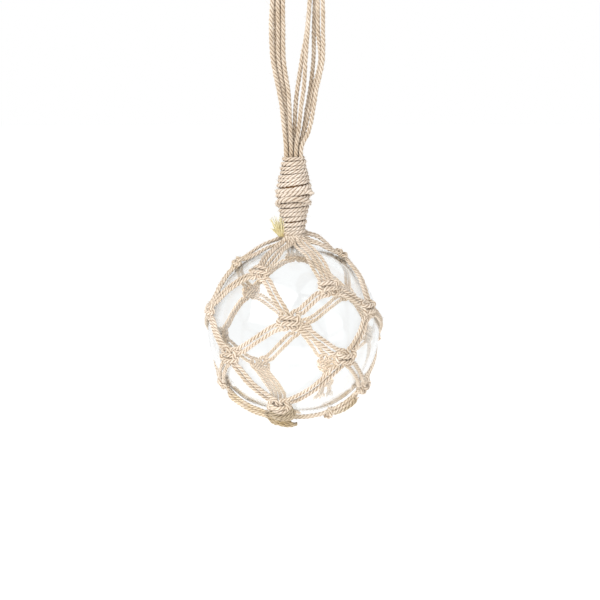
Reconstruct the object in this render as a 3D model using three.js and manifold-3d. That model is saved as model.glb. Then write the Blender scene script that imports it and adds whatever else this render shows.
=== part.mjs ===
// Glass float ball in a knotted cord net, hanging from a bundle of looped cords.
// Millimetres, +Z up. The origin is the inside top of the hanging loops.
// Directions on the ball are given as a polar angle down from its top and a turn
// about the vertical, in degrees, where 0 faces -Y and +90 faces +X.

import * as THREE from 'three';
import { mergeVertices } from 'three/addons/utils/BufferGeometryUtils.js';
import Module from 'manifold-3d';

const degrees = Math.PI / 180;

// Driving dimensions
const glassRadius = 60;
const touchGap = 0.3;                // clearance between neighbouring pieces
const loopCordDiameter = 3.1;
const netCordDiameter = 3.1;
const knotSize = { width: 16, height: 9.5, thickness: 4.8 };
const bottomBandThickness = 5.4;     // four cords lying two by two
const neckHeight = 58;
const neckTurns = 15;
const turnDepth = 0.5;               // how far a groove between turns goes in
const neckDepthShare = 0.88;         // the neck is a little flatter from front to back
const gatherKnot = { width: 18.4, depth: 10.5, length: 9.5, turns: 3, turn: -11 };
const gatherLump = { width: 19, depth: 9.5, length: 11.5, turn: -13 };
const gatherOverlap = 1.2;           // how far the last knot, the wound barrel and the ends run into each other
const frayedEnd = { diameter: 4.4, length: 16, turn: -102, lean: 12 };

// Outer radius of the neck's whipping at heights above its lower end
const neckOutline = [[0, 8.3], [6, 8.6], [16, 9.3], [23, 11.2], [34, 12.5], [41, 11.4], [48, 9.6], [58, 8.1]];

// The net's four rows of five knots, from the neck down
const knotRows = [
  { polar: [39, 41, 52.5, 33, 39], turn: [-82, -33, 28.5, 98, 178] },
  { polar: [74, 73, 71, 72, 72], turn: [-74, -2.6, 60.5, 136, -146.5] },
  { polar: [100, 99, 98.5, 98, 100.5], turn: [-118, -44.5, 34.5, 110, 175] },
  { polar: [126, 134, 128, 125, 127], turn: [-80, -12, 76, 150, -149] },
];
const gatherRow = 3;
const gatherColumn = 1;              // the last row's knot that sits in the bottom gather

// Where the underside's bands go on their way from the last row, by column, the band that is cut
// off before it reaches the gather, and the small knots that hold the cords which stop short
const bottomVias = { 2: [[152, 40]], 4: [[137, -153.5], [151, -164], [171, -90]] };
const shortBands = { 3: [145.5, 144] };
const bandKnots = [{ polar: 152.5, turn: 50 }, { polar: 143.5, turn: 144.5 }];
const bandKnotSize = { width: 11, height: 7.5, thickness: 7 };

// Routes of the five looped cords, from the neck up the left side, over and down the right
const loopRoutes = [
  [[-5.1, -3.3, -117.7], [-5.2, -3.3, -112], [-6.3, -2.8, -101], [-8.2, -2, -84], [-10, -1.6, -74],
    [-14, -1.6, -54], [-15.1, -1.8, -34], [-14.2, -1.8, -14], [-13.7, -1.8, -7.4], [-11.7, -1.8, 0.6],
    [-5.6, -1.8, 6.4], [2.7, -1.8, 8.4], [11, -1.8, 6.3], [16.9, -1.8, 0.5], [19.1, -1.8, -7.4],
    [19.7, -1.8, -14], [20, -1.8, -34], [19.8, -1.8, -54], [15.6, -1.5, -74], [14, -1.4, -84],
    [10.6, -1.8, -101], [5.6, -3.2, -112], [5.1, -3.3, -117.7]],
  [[-3.4, 0, -117.7], [-3.5, 0, -112], [-4.2, 0.3, -101], [-5.6, 0.6, -84], [-6.7, 0.6, -74],
    [-9.9, -0.6, -54], [-10.2, -1.2, -34], [-10.5, -1.8, -14], [-10.4, -1.8, -7.4], [-8.7, -1.8, -1.2],
    [-3.9, -1.8, 3.3], [2.6, -1.8, 5], [9.1, -1.8, 3.3], [13.9, -1.8, -1.2], [15.6, -1.8, -7.4],
    [16.3, -1.6, -14], [16.6, -0.4, -34], [18.2, 1.4, -54], [13.4, 1.4, -74], [11.4, 1.2, -84],
    [7.5, 0.5, -101], [3.9, 0, -112], [3.4, 0, -117.7]],
  [[-1.7, -3.3, -117.7], [-1.7, -3.3, -112], [-2.1, -3.2, -101], [-2.8, -2.6, -84], [-3.5, -2, -74],
    [-6.5, -1.9, -54], [-6.8, -2.2, -34], [-7, -1.8, -14], [-6.9, -1.8, -7.4], [-5.7, -1.8, -2.9],
    [-2.5, -1.8, 0.4], [2, -1.8, 1.6], [6.5, -1.8, 0.4], [9.7, -1.8, -2.9], [10.9, -1.8, -7.4],
    [10.9, -1.8, -14], [9.6, -2.1, -34], [8.2, -2, -54], [6.9, -2, -74], [5.3, -2.4, -84],
    [3.5, -3, -101], [1.9, -3.3, -112], [1.7, -3.3, -117.7]],
  [[-5.1, 3.3, -117.7], [-5.2, 3.4, -112], [-5.6, 3.8, -101], [-7.2, 4, -84], [-8.6, 3.8, -74],
    [-11.6, 3, -54], [-12.2, 2.4, -34], [-11.6, 1.9, -14], [-10.6, 1.8, -7.4], [-8.7, 1.8, -1.2],
    [-4.2, 1.8, 3.3], [2, 1.8, 5], [8.2, 1.8, 3.3], [12.7, 1.8, -1.2], [14.5, 1.8, -7.4],
    [14.5, 1.9, -14], [13.9, 2.4, -34], [13.6, 3.4, -54], [11.4, 4.4, -74], [9.6, 4.4, -84],
    [7, 4, -101], [4.6, 3.4, -112], [4.2, 3.4, -117.7]],
  [[-1.7, 3.3, -117.7], [-1.8, 3.4, -112], [-2.2, 3.8, -101], [-3.6, 4.2, -84], [-5, 4.2, -74],
    [-8, 3.4, -54], [-8.7, 2.5, -34], [-8.1, 1.9, -14], [-6.9, 1.8, -7.4], [-5.7, 1.8, -2.9],
    [-2.5, 1.8, 0.4], [2, 1.8, 1.6], [6.5, 1.8, 0.4], [9.7, 1.8, -2.9], [10.9, 1.8, -7.4],
    [11, 1.8, -14], [9.1, 1.4, -34], [5.6, 0.8, -54], [2.6, 0.4, -74], [1.5, 0.4, -84],
    [0.7, 0.3, -101], [0.2, 0, -112], [0, 0, -117.7]],
];
const loopCordSides = 6;
const loopCordSteps = 44;

const wasm = await Module();
wasm.setup();

const cordColour = 0xdcc8ab;
const facetTurn = 12.4;              // most degrees of the ball under one straight facet of a band
const chordSag = glassRadius * (1 - Math.cos((facetTurn / 2) * degrees));   // how far it dips towards the glass
const netRadius = glassRadius + touchGap + netCordDiameter / 2 + chordSag;
const bottomBandRadius = glassRadius + touchGap + bottomBandThickness / 2 + chordSag;
const neckBase = netRadius + netCordDiameter / 2 + touchGap;
const neckTop = neckBase + neckHeight;
const ballDrop = neckTop + touchGap - loopRoutes[0][0][2];   // the loops' ends stand just clear of the neck
const gatherPolar = polarBelow(knotRows[gatherRow].polar[gatherColumn], knotSize.height, gatherKnot.length);
const lumpPolar = polarBelow(gatherPolar, gatherKnot.length, gatherLump.length);

function cordMaterial() {
  return new THREE.MeshStandardMaterial({ color: cordColour, roughness: 0.95, metalness: 0 });
}

// The polar angle of a piece that follows down the ball after another, from both their lengths
function polarBelow(polar, upperLength, lowerLength) {
  return polar + ((upperLength + lowerLength) / 2 - gatherOverlap) / netRadius / degrees;
}

function direction(polar, turn) {
  const p = polar * degrees;
  const t = turn * degrees;
  return new THREE.Vector3(Math.sin(p) * Math.sin(t), -Math.sin(p) * Math.cos(t), Math.cos(p));
}

// A curve on a sphere about the ball's centre, the shortest way between two directions
class ArcOnBall extends THREE.Curve {
  constructor(from, to, radius) {
    super();
    this.from = from;
    this.to = to;
    this.radius = radius;
    this.angle = from.angleTo(to);
  }

  getPoint(t) {
    const a = Math.sin((1 - t) * this.angle) / Math.sin(this.angle);
    const b = Math.sin(t * this.angle) / Math.sin(this.angle);
    const point = this.from.clone().multiplyScalar(a).addScaledVector(this.to, b);
    return point.multiplyScalar(this.radius);
  }
}

// Cords lying side by side, as one closed section: width across, height away from the glass
function bandSection(cords, diameter, thickness) {
  const half = (cords * diameter) / 2;
  const points = [[-half, 0]];
  for (let i = 0; i < cords; i += 1) {
    const left = -half + i * diameter;
    if (i > 0) points.push([left, thickness * 0.22]);
    points.push([left + diameter / 2, thickness / 2]);
  }
  points.push([half, 0]);
  points.push([half - diameter * 0.3, -thickness / 2]);
  points.push([-half + diameter * 0.3, -thickness / 2]);
  return points;
}

// The section swept along an arc, kept flat against the glass
function bandAlong(curve, cords, diameter, thickness) {
  const steps = Math.ceil(curve.angle / (facetTurn * degrees));
  const frames = curve.computeFrenetFrames(steps, false);
  const outward = curve.getPointAt(0).normalize();
  const c = outward.dot(frames.normals[0]);
  const s = outward.dot(frames.binormals[0]);
  const section = bandSection(cords, diameter, thickness);
  const turned = section.map(([a, b]) => new THREE.Vector2(-a * s + b * c, a * c + b * s));
  return new THREE.ExtrudeGeometry(new THREE.Shape(turned), { steps, extrudePath: curve });
}

// Places a shape built about its own origin at a direction on the ball:
// its X runs round the ball, its Y up the ball and its Z away from the glass
function placedOnBall(geometry, polar, turn, radius) {
  const out = direction(polar, turn);
  const up = direction(polar - 90, turn);
  const round = new THREE.Vector3().crossVectors(up, out);
  const matrix = new THREE.Matrix4().makeBasis(round, up, out);
  matrix.setPosition(out.clone().multiplyScalar(radius));
  geometry.applyMatrix4(matrix);
  return geometry;
}

function toSolid(geometry) {
  const bare = geometry.clone();
  bare.deleteAttribute('normal');
  bare.deleteAttribute('uv');
  const merged = mergeVertices(bare, 1e-4);
  const vertProperties = Float32Array.from(merged.attributes.position.array);
  const triVerts = Uint32Array.from(merged.index.array);
  return new wasm.Manifold(new wasm.Mesh({ numProp: 3, vertProperties, triVerts }));
}

function toGeometry(solid) {
  const mesh = solid.getMesh();
  const geometry = new THREE.BufferGeometry();
  geometry.setAttribute('position', new THREE.BufferAttribute(Float32Array.from(mesh.vertProperties), 3));
  geometry.setIndex(new THREE.BufferAttribute(Uint32Array.from(mesh.triVerts), 1));
  geometry.computeVertexNormals();
  return geometry;
}

function knotAt(polar, turn, size = knotSize) {
  const blob = new THREE.IcosahedronGeometry(1, 1);
  blob.scale(size.width / 2, size.height / 2, size.thickness / 2);
  return placedOnBall(blob, polar, turn, glassRadius + touchGap + size.thickness / 2);
}

// Turns of cord wound on a spindle: a lathe profile with a groove between neighbours
function woundProfile(length, turns, radiusAt) {
  const profile = [new THREE.Vector2(0, 0)];
  for (let i = 0; i <= 2 * turns; i += 1) {
    const height = (length * i) / (2 * turns);
    const groove = i % 2 === 0 ? turnDepth : 0;
    profile.push(new THREE.Vector2(radiusAt(height) - groove, height));
  }
  profile.push(new THREE.Vector2(0, length));
  return profile;
}

// Height between the listed ones, by straight steps
function outlineRadius(outline, height) {
  const above = outline.findIndex(([h]) => h >= height);
  if (above <= 0) return outline[0][1];
  const [h0, r0] = outline[above - 1];
  const [h1, r1] = outline[above];
  return r0 + ((r1 - r0) * (height - h0)) / (h1 - h0);
}

function glassBall() {
  const geometry = new THREE.SphereGeometry(glassRadius, 24, 16);
  geometry.rotateX(Math.PI / 2);
  const glass = { color: 0xf4f7f6, roughness: 0.03, metalness: 0, transparent: true, opacity: 0.3 };
  const mesh = new THREE.Mesh(geometry, new THREE.MeshStandardMaterial(glass));
  mesh.name = 'glass_ball';
  return mesh;
}

function neckWhipping() {
  const scale = neckHeight / neckOutline.at(-1)[0];
  const radiusAt = (height) => outlineRadius(neckOutline, height / scale);
  const geometry = new THREE.LatheGeometry(woundProfile(neckHeight, neckTurns, radiusAt), 16);
  geometry.rotateX(Math.PI / 2);
  geometry.scale(1, neckDepthShare, 1);
  geometry.translate(0, 0, neckBase);
  const mesh = new THREE.Mesh(geometry, cordMaterial());
  mesh.name = 'neck_whipping';
  return mesh;
}

// The bottom knot: a short wound barrel lying against the glass, along the ball's side
function gatherBarrel() {
  const { width, depth, length, turns, turn } = gatherKnot;
  const barrel = (height) => (width / 2) * (1 - 0.12 * ((2 * height) / length - 1) ** 2);
  const geometry = new THREE.LatheGeometry(woundProfile(length, turns, barrel), 16);
  geometry.translate(0, -length / 2, 0);
  geometry.scale(1, 1, depth / width);
  return placedOnBall(geometry, gatherPolar, turn, glassRadius + touchGap + depth / 2);
}

function gatherEnds() {
  const { width, depth, length, turn } = gatherLump;
  const blob = new THREE.IcosahedronGeometry(1, 1);
  blob.scale(width / 2, length / 2, depth / 2);
  return placedOnBall(blob, lumpPolar, turn, glassRadius + touchGap + depth / 2);
}

// A cut end of the net's cord that stands up beside the neck, on the crown of the net
function frayedStub() {
  const { diameter, length, turn, lean } = frayedEnd;
  const clearOfNeck = neckOutline[0][1] + touchGap + diameter / 2 + 0.3;
  const foot = direction(90, turn).multiplyScalar(clearOfNeck);
  foot.z = Math.sqrt(netRadius ** 2 - clearOfNeck ** 2);
  const geometry = new THREE.CylinderGeometry(diameter / 2, diameter / 2.6, length, 8);
  geometry.translate(0, length / 2, 0);
  const upright = new THREE.Quaternion();
  upright.setFromUnitVectors(new THREE.Vector3(0, 1, 0), direction(lean, turn));
  geometry.applyQuaternion(upright);
  geometry.translate(foot.x, foot.y, foot.z);
  return geometry;
}

function legBetween(a, b) {
  const arc = new ArcOnBall(direction(...a), direction(...b), netRadius);
  return bandAlong(arc, 2, netCordDiameter, netCordDiameter);
}

function ropeNet() {
  const shapes = [];
  const knots = knotRows.map(({ polar, turn }) => polar.map((p, i) => [p, turn[i]]));
  const columns = knots[0].length;
  const top = new THREE.Vector3(0, 0, 1);
  knots.forEach((row) => row.forEach((place) => shapes.push(knotAt(...place))));
  knots[0].forEach((place) => {
    const arc = new ArcOnBall(top, direction(...place), netRadius);
    shapes.push(bandAlong(arc, 4, netCordDiameter, netCordDiameter));
  });
  for (let k = 0; k < columns; k += 1) {
    const before = (k + columns - 1) % columns;
    const after = (k + 1) % columns;
    shapes.push(legBetween(knots[0][k], knots[1][before]), legBetween(knots[0][k], knots[1][k]));
    shapes.push(legBetween(knots[1][k], knots[2][k]), legBetween(knots[1][k], knots[2][after]));
    shapes.push(legBetween(knots[2][k], knots[3][before]), legBetween(knots[2][k], knots[3][k]));
  }
  knots[gatherRow].forEach((place, column) => {
    if (column === gatherColumn) return;
    const last = shortBands[column] ?? [lumpPolar, gatherLump.turn];
    const stops = [place, ...(bottomVias[column] ?? []), last];
    for (let i = 1; i < stops.length; i += 1) {
      const arc = new ArcOnBall(direction(...stops[i - 1]), direction(...stops[i]), bottomBandRadius);
      shapes.push(bandAlong(arc, 2, netCordDiameter * 1.1, bottomBandThickness));
    }
  });
  bandKnots.forEach(({ polar, turn }) => shapes.push(knotAt(polar, turn, bandKnotSize)));
  shapes.push(gatherBarrel(), gatherEnds(), frayedStub());
  const joined = shapes.map(toSolid).reduce((all, one) => all.add(one));
  const mesh = new THREE.Mesh(toGeometry(joined), cordMaterial());
  mesh.name = 'rope_net';
  return mesh;
}

function loopCord(route, number) {
  const curve = new THREE.CatmullRomCurve3(route.map((p) => new THREE.Vector3(...p)));
  const section = new THREE.Shape();
  for (let i = 0; i < loopCordSides; i += 1) {
    const a = (2 * Math.PI * i) / loopCordSides;
    const x = (loopCordDiameter / 2) * Math.cos(a);
    const y = (loopCordDiameter / 2) * Math.sin(a);
    if (i === 0) section.moveTo(x, y);
    else section.lineTo(x, y);
  }
  const geometry = new THREE.ExtrudeGeometry(section, { steps: loopCordSteps, extrudePath: curve });
  const mesh = new THREE.Mesh(geometry, cordMaterial());
  mesh.name = `loop_cord_${number}`;
  return mesh;
}

const hangingFloat = new THREE.Group();
const ball = new THREE.Group();
ball.position.set(0, 0, -ballDrop);
ball.add(glassBall(), ropeNet(), neckWhipping());
hangingFloat.add(ball);
loopRoutes.forEach((route, i) => hangingFloat.add(loopCord(route, i + 1)));

export default hangingFloat;
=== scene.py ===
import math
import random

import bmesh
import bpy
from mathutils import Matrix, Vector, noise


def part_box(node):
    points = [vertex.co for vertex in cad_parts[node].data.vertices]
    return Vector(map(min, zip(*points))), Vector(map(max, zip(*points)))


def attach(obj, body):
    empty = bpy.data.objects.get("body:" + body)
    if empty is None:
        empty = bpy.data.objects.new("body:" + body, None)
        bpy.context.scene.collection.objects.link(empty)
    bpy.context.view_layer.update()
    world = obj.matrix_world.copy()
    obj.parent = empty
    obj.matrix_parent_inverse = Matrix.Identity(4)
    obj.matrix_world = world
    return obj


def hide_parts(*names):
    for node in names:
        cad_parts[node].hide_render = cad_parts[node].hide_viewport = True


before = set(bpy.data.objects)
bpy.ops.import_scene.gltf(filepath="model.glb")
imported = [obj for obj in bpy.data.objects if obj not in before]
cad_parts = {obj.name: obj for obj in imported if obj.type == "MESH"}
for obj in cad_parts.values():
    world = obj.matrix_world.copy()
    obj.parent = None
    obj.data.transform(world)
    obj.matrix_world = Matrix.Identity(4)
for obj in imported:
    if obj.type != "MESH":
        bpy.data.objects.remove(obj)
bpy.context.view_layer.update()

# Glass float ball in a knotted cotton net, hanging from its looped cords.
# Lengths in the settings are millimetres, and become metres where a mesh is made.
mm = 0.001

ballLow, ballHigh = (Vector(corner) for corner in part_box("glass_ball"))
ballCentre = (ballLow + ballHigh) / 2 / mm
glassRadius = ((ballHigh - ballLow) / mm).z / 2
# heights are above the ball's centre
neckFoot, neckHead = (corner[2] / mm - ballCentre.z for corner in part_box("neck_whipping"))

# Camera
# The view is from 12 degrees above the ball, and one pixel is 0.70 mm at the ball.
view = {"distance": 1000, "elevation": 12, "pixel": 0.7026, "frame": 600, "ballPixel": (293.5, 329),
        "sensor": 36, "nearest": 10}


def linked(thing):
    bpy.context.scene.collection.objects.link(thing)
    return thing


def addCamera(s):
    elevation = math.radians(s["elevation"])
    eye = ballCentre + Vector((0, -math.cos(elevation), math.sin(elevation))) * s["distance"]
    middle = s["frame"] / 2
    right = math.atan((middle - s["ballPixel"][0]) * s["pixel"] / s["distance"])
    down = elevation - math.atan((s["ballPixel"][1] - middle) * s["pixel"] / s["distance"])
    look = Vector((math.sin(right) * math.cos(down), math.cos(right) * math.cos(down), -math.sin(down)))
    data = bpy.data.cameras.new("camera")
    data.sensor_width = s["sensor"]
    data.lens = s["sensor"] * s["distance"] / (s["frame"] * s["pixel"])
    data.clip_start = s["nearest"] * mm
    camera = bpy.data.objects.new("camera", data)
    camera.location = eye * mm
    camera.rotation_euler = look.to_track_quat("-Z", "Y").to_euler()
    bpy.context.scene.camera = linked(camera)


addCamera(view)
print("camera set")


# Node materials
def hexColour(text):
    def linear(c):
        return c / 12.92 if c <= 0.04045 else ((c + 0.055) / 1.055) ** 2.4
    return tuple(linear(int(text[i:i + 2], 16) / 255) for i in (1, 3, 5)) + (1.0,)


# A node with its settings, its unlinked inputs and its links
def addNode(tree, kind, settings=None, values=None, links=None):
    node = tree.nodes.new("ShaderNode" + kind)
    for key, value in (settings or {}).items():
        setattr(node, key, value)
    for key, value in (values or {}).items():
        node.inputs[key].default_value = value
    for key, socket in (links or {}).items():
        tree.links.new(socket, node.inputs[key])
    return node


def newMaterial(name):
    material = bpy.data.materials.new(name)
    material.use_nodes = True
    tree = material.node_tree
    tree.nodes.clear()
    return material, tree, addNode(tree, "TexCoord")


def addRange(tree, value, low, high, lowest=0.0, highest=1.0):
    return addNode(tree, "MapRange",
                   values={"From Min": low, "From Max": high, "To Min": lowest, "To Max": highest},
                   links={"Value": value}).outputs["Result"]


# Two colours mixed, or multiplied: each is a hex text or a socket
def addMix(tree, first, second, factor, blend="MIX"):
    values = {}
    links = {}
    for key, given in (("A", first), ("B", second), ("Factor", factor)):
        if isinstance(given, bpy.types.NodeSocket):
            links[key] = given
        else:
            values[key] = hexColour(given) if isinstance(given, str) else given
    settings = {"data_type": "RGBA", "blend_type": blend}
    return addNode(tree, "Mix", settings, values, links).outputs["Result"]


def addSurface(tree, values, links):
    shader = addNode(tree, "BsdfPrincipled", values=values, links=links)
    addNode(tree, "OutputMaterial", links={"Surface": shader.outputs["BSDF"]})


# Pattern scales in mm: the patches' size, and the depths where the painted light at the back begins and is
# full
cotton = {
    "patch": 14, "backLightFrom": 12, "backLightFull": 40,
    "fibre": (0.55, 7.0, 1.0),   # how fine the fibres are along a ply, per mm, and round it
    "fibreDepth": 0.25,
}


# Cotton yarn, spun and plied: matt, with a soft bloom from loose fibres and fine streaks along each ply
def cottonMaterial(name, pale, deep, grooveShadeColour, stainColour, backPaintedLight=None):
    material, tree, place = newMaterial(name)
    patches = addNode(tree, "TexNoise",
                      values={"Scale": 1 / (cotton["patch"] * mm), "Detail": 3.0, "Roughness": 0.6},
                      links={"Vector": place.outputs["Object"]})
    cream = addMix(tree, pale, deep, addRange(tree, patches.outputs["Fac"], 0.33, 0.68))
    if backPaintedLight:
        # painted light: the back of the net is painted paler, for the light its cords lack where they show
        # through the glass
        axes = addNode(tree, "SeparateXYZ", links={"Vector": place.outputs["Object"]})
        behind = addRange(tree, axes.outputs["Y"], cotton["backLightFrom"] * mm, cotton["backLightFull"] * mm)
        cream = addMix(tree, cream, backPaintedLight, behind)
    # fibres: the UV runs in mm along a ply and once round it
    stretched = addNode(tree, "Mapping", values={"Scale": cotton["fibre"]},
                        links={"Vector": place.outputs["UV"]})
    fibres = addNode(tree, "TexNoise", {"noise_dimensions": "2D"},
                     {"Scale": 1.0, "Detail": 4.0, "Roughness": 0.7, "Distortion": 0.4},
                     {"Vector": stretched.outputs["Vector"]})
    streak = addRange(tree, fibres.outputs["Fac"], 0.3, 0.7, 0.82, 1.08)
    streaked = addMix(tree, cream, streak, 1.0, "MULTIPLY")
    # painted shade: the grooves between plies are painted browner and darker, for the shade where less light
    # gets in
    crest = addNode(tree, "Attribute", {"attribute_name": "crest"})
    groove = addRange(tree, crest.outputs["Fac"], 0.1, 0.95, 1.0, 0.0)
    grooveShaded = addMix(tree, streaked, grooveShadeColour, groove, "MULTIPLY")
    stain = addNode(tree, "Attribute", {"attribute_name": "stain"})
    stained = addMix(tree, grooveShaded, stainColour, stain.outputs["Fac"], "MULTIPLY")
    bump = addNode(tree, "Bump", values={"Strength": 0.6, "Distance": cotton["fibreDepth"] * mm},
                   links={"Height": fibres.outputs["Fac"]})
    values = {"Roughness": 0.93, "Specular IOR Level": 0.2, "Sheen Weight": 0.25, "Sheen Roughness": 0.5}
    addSurface(tree, values, {"Base Color": stained, "Normal": bump.outputs["Normal"]})
    return material


blown = {"wave": 34, "waveDepth": 0.3}


# Clear glass, blown: smooth and colourless, with slow waves left by the blowing
def glassMaterial():
    material, tree, place = newMaterial("blown clear glass")
    waves = addNode(tree, "TexNoise", values={"Scale": 1 / (blown["wave"] * mm), "Detail": 1.0},
                    links={"Vector": place.outputs["Object"]})
    bump = addNode(tree, "Bump", values={"Strength": 0.1, "Distance": blown["waveDepth"] * mm},
                   links={"Height": waves.outputs["Fac"]})
    values = {"Base Color": hexColour("#F9FAFA"), "Roughness": 0.0, "IOR": 1.5, "Transmission Weight": 1.0}
    addSurface(tree, values, {"Normal": bump.outputs["Normal"]})
    return material


# colours: pale, deep, painted shade in the grooves, where stained, and painted light at the back
plied = "plied natural cotton, "
netCotton = cottonMaterial(plied + "net", "#EADDCD", "#D5C5AF", "#A08261", "#F3E4A8", "#FDE7CB")
loopCotton = cottonMaterial(plied + "hanging cords", "#D5C7B5", "#BDAA92", "#9C805F", "#F3E4A8")
neckCotton = cottonMaterial(plied + "whipping", "#DFD3C5", "#CBBBA8", "#A48663", "#F3E4A8")
# painted shade: the gather's cotton and its turned ends are coloured darker and browner for the shade they
# lie in
gatherCotton = cottonMaterial(plied + "painted shade", "#CDBFA8", "#B09E82", "#826948", "#EBD795")
yellowed = "frayed cotton end, yellowed by glue"
yellowCotton = cottonMaterial(yellowed, "#E6DDB6", "#CCBE86", "#AD995E", "#D6C080")
clearGlass = glassMaterial()


# Cord making
fineStep = 0.7  # the smooth curve's own points, before they are spaced evenly
tiny = 1e-6


def jitter(rng, reach):
    return Vector((rng.uniform(-reach, reach), rng.uniform(-reach, reach), rng.uniform(-reach, reach)))


def drawn(rng, values):
    return [rng.uniform(*value) if isinstance(value, tuple) else value for value in values]


# Points a step apart along a smooth curve through the given ones
def smoothRoute(points, step=0.75):
    points = [Vector(p) for p in points]
    ends = [points[0] * 2 - points[1]] + points + [points[-1] * 2 - points[-2]]
    fine = []
    for i in range(1, len(ends) - 2):
        a, b, c, d = ends[i - 1:i + 3]
        t0 = 0.0
        t1 = t0 + max((b - a).length, tiny) ** 0.5
        t2 = t1 + max((c - b).length, tiny) ** 0.5
        t3 = t2 + max((d - c).length, tiny) ** 0.5
        pieces = max(4, int((c - b).length / fineStep))
        for k in range(pieces):
            t = t1 + (t2 - t1) * k / pieces
            ab = a.lerp(b, (t - t0) / (t1 - t0))
            bc = b.lerp(c, (t - t1) / (t2 - t1))
            cd = c.lerp(d, (t - t2) / (t3 - t2))
            abc = ab.lerp(bc, (t - t0) / (t2 - t0))
            bcd = bc.lerp(cd, (t - t1) / (t3 - t1))
            fine.append(abc.lerp(bcd, (t - t1) / (t2 - t1)))
    fine.append(points[-1])
    lengths = [0.0]
    for p, q in zip(fine, fine[1:]):
        lengths.append(lengths[-1] + (q - p).length)
    count = max(2, round(lengths[-1] / step))
    even = []
    j = 0
    for i in range(count + 1):
        want = lengths[-1] * i / count
        while j < len(lengths) - 2 and lengths[j + 1] < want:
            j += 1
        share = (want - lengths[j]) / max(lengths[j + 1] - lengths[j], tiny)
        even.append(fine[j].lerp(fine[j + 1], share))
    return even


def routeLength(route):
    return sum((q - p).length for p, q in zip(route, route[1:]))


# A normal at each point that turns with the route and doesn't spin about it
def carriedNormals(route):
    around = zip(route[:1] + route, route[1:] + route[-1:])
    tangents = [(ahead - behind).normalized() for behind, ahead in around]
    normal = tangents[0].orthogonal().normalized()
    normals = [normal]
    for before, after in zip(tangents, tangents[1:]):
        normal = before.rotation_difference(after) @ normal
        normal = (normal - after * normal.dot(after)).normalized()
        normals.append(normal)
    return tangents, normals


# The radius and the offset are shares of the cord's diameter, and the scales of the unevenness are per mm
plies = {
    "count": 3, "radius": 0.245, "offset": 0.262,
    "slip": 0.9, "slipScale": 0.06,  # radians by which the lay runs ahead or behind
    "wobble": 0.16, "wobbleScale": 0.35, "swell": 0.13, "rough": 0.10, "roughScale": 1.3,
    "grooveEnd": 0.25, "crestWidth": 0.23, "capMark": 0.6,  # the crest mark rises from the groove's end
}


# The centre lines of a cord's plies, laid in the direction of the middle of an S. Each entry of a
# line is its place, its thickness as a share, and the cord's own middle there
def pliedLines(route, diameter, lay, phase, press=0.0, widths=None):
    tangents, normals = carriedNormals(route)
    angles = []
    travelled = 0.0
    for i, point in enumerate(route):
        if i:
            travelled += (point - route[i - 1]).length
        slip = plies["slip"] * noise.noise(point * plies["slipScale"] + Vector((phase * 3, 0, 0)))
        angles.append(phase + slip - 2 * math.pi * travelled / lay)
    lines = []
    for ply in range(plies["count"]):
        line = []
        for i, point in enumerate(route):
            a = angles[i] + 2 * math.pi * ply / plies["count"]
            side = tangents[i].cross(normals[i])
            wide = widths[i] if widths else 1.0
            move = (normals[i] * math.cos(a) + side * math.sin(a)) * diameter * plies["offset"] * wide
            if press:
                out = (point - ballCentre).normalized()
                move -= out * move.dot(out) * press
            wobble = noise.noise(point * plies["wobbleScale"] + Vector((ply * 9.1, phase, 0)))
            rough = noise.noise(point * plies["roughScale"] + Vector((0, ply * 5.3, phase)))
            swell = 1 + plies["swell"] * wobble + plies["rough"] * rough
            line.append((point + move * (1 + plies["wobble"] * wobble), wide * swell, point))
        lines.append(line)
    return lines


# A piece of plied cord
def cordPiece(name, lines, diameter, material, sides=8):
    return meshOfLines(name, lines, diameter * plies["radius"], material, sides, diameter)


weld = 0.001  # points nearer than this become one


def finished(work, mesh, smooth=True):
    for face in work.faces:
        face.smooth = smooth
    work.to_mesh(mesh)
    work.free()
    return mesh


# One mesh of round tubes along the lines, with a UV in mm along them
def meshOfLines(name, lines, radius, material, sides=6, diameter=0.0):
    curve = bpy.data.curves.new(name, "CURVE")
    curve.dimensions = "3D"
    curve.bevel_depth = radius * mm
    curve.bevel_resolution = (sides - 4) // 2
    curve.use_fill_caps = True
    for line in lines:
        spline = curve.splines.new("POLY")
        spline.points.add(len(line) - 1)
        flat = []
        for entry in line:
            flat.extend((entry[0].x * mm, entry[0].y * mm, entry[0].z * mm, 1.0))
        spline.points.foreach_set("co", flat)
        spline.points.foreach_set("radius", [entry[1] for entry in line])
    holder = linked(bpy.data.objects.new(name + "_lines", curve))
    ready = holder.evaluated_get(bpy.context.evaluated_depsgraph_get())
    mesh = bpy.data.meshes.new_from_object(ready)
    mesh.name = name
    bpy.data.objects.remove(holder)
    bpy.data.curves.remove(curve)
    stretchUv(mesh, lines, sides)
    markCrests(mesh, lines, sides, diameter)
    work = bmesh.new()
    work.from_mesh(mesh)
    bmesh.ops.remove_doubles(work, verts=work.verts, dist=weld * mm)
    return linkedPiece(name, finished(work, mesh), material)


uvShift = (37.3, 3.7)  # each line starts elsewhere in the pattern


# A converted curve has its end caps first, then each line's rings, with U from 0 to 1 along the line
def stretchUv(mesh, lines, sides):
    lengths = [routeLength([entry[0] for entry in line]) for line in lines]
    caps = 2 * sides * len(lines)
    owner = [0] * caps
    for number, line in enumerate(lines):
        owner.extend([number] * (sides * len(line)))
    layer = mesh.uv_layers[0]
    flat = [0.0] * (2 * len(mesh.loops))
    layer.uv.foreach_get("vector", flat)
    corner = [0] * len(mesh.loops)
    mesh.loops.foreach_get("vertex_index", corner)
    for i, vertex in enumerate(corner):
        number = owner[vertex]
        flat[2 * i] = flat[2 * i] * lengths[number] + number * uvShift[0]
        flat[2 * i + 1] += number * uvShift[1]
    layer.uv.foreach_set("vector", flat)
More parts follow.
